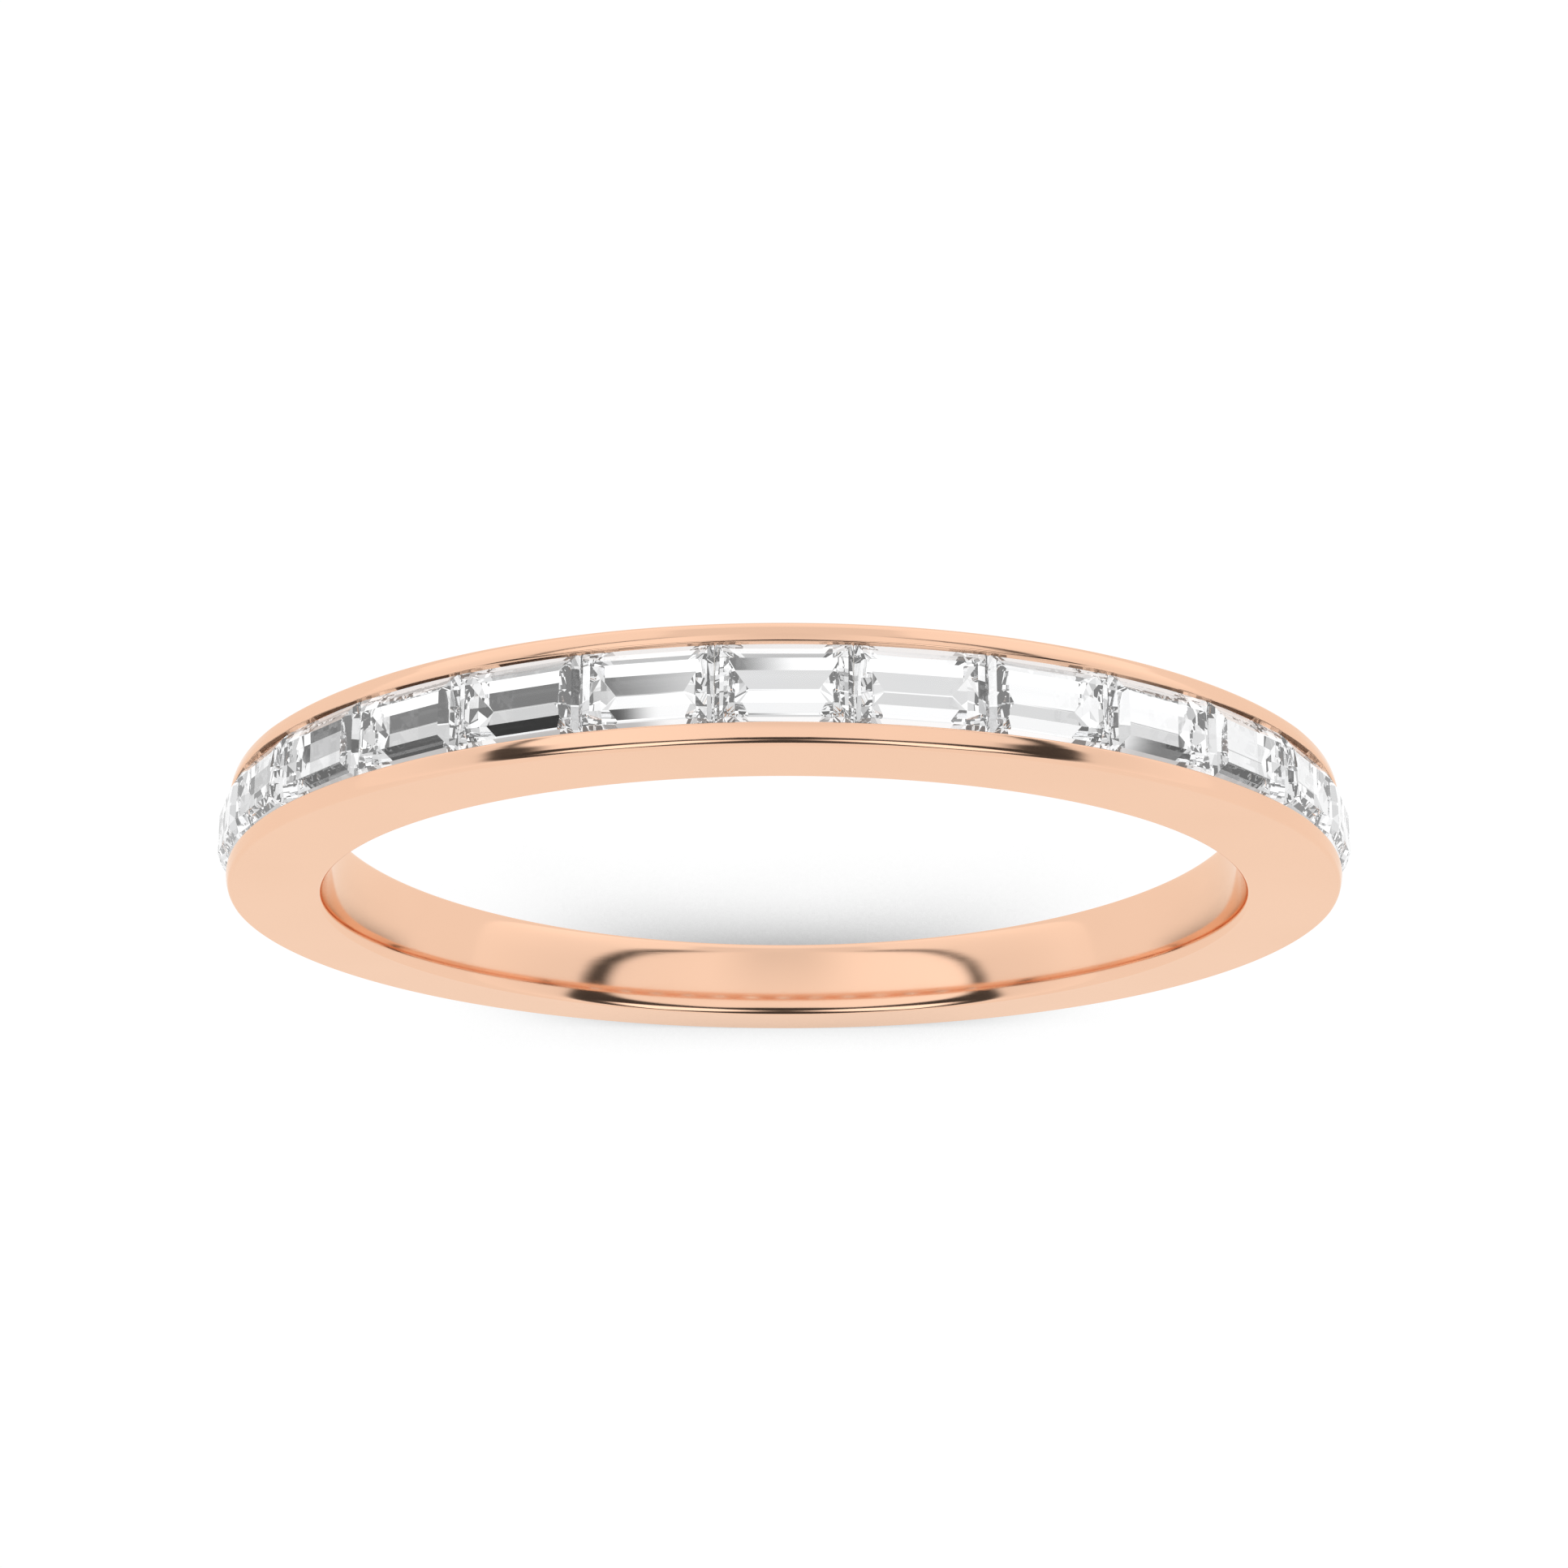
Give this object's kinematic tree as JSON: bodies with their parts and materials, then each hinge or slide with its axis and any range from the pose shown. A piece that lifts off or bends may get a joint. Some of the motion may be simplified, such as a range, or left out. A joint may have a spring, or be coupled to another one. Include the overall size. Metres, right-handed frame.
{
  "type": "wedding band",
  "caption": "Narrow rose-gold wedding band with a row of baguette diamonds channel-set end to end over the top of the ring, above a plain polished shank.",
  "frame": {"origin": "centre of the finger hole, halfway between the two flat faces", "axes": "+Y along the finger hole towards the back face, +Z towards the middle stone at the top of the ring, +X to the right seen from the front face"},
  "size_m": [0.021, 0.002, 0.0207],
  "materials": {
    "rose_gold": "polished 14k rose gold",
    "diamond": "colourless step-cut diamond, polished facets"
  },
  "bodies": {
    "root": {"band": "rose_gold", "diamond_01": "diamond", "diamond_02": "diamond", "diamond_03": "diamond", "diamond_04": "diamond", "diamond_05": "diamond", "diamond_06": "diamond", "diamond_07": "diamond", "diamond_08": "diamond", "diamond_09": "diamond", "diamond_10": "diamond", "diamond_11": "diamond", "diamond_12": "diamond", "diamond_13": "diamond"}
  },
  "joints": []
}
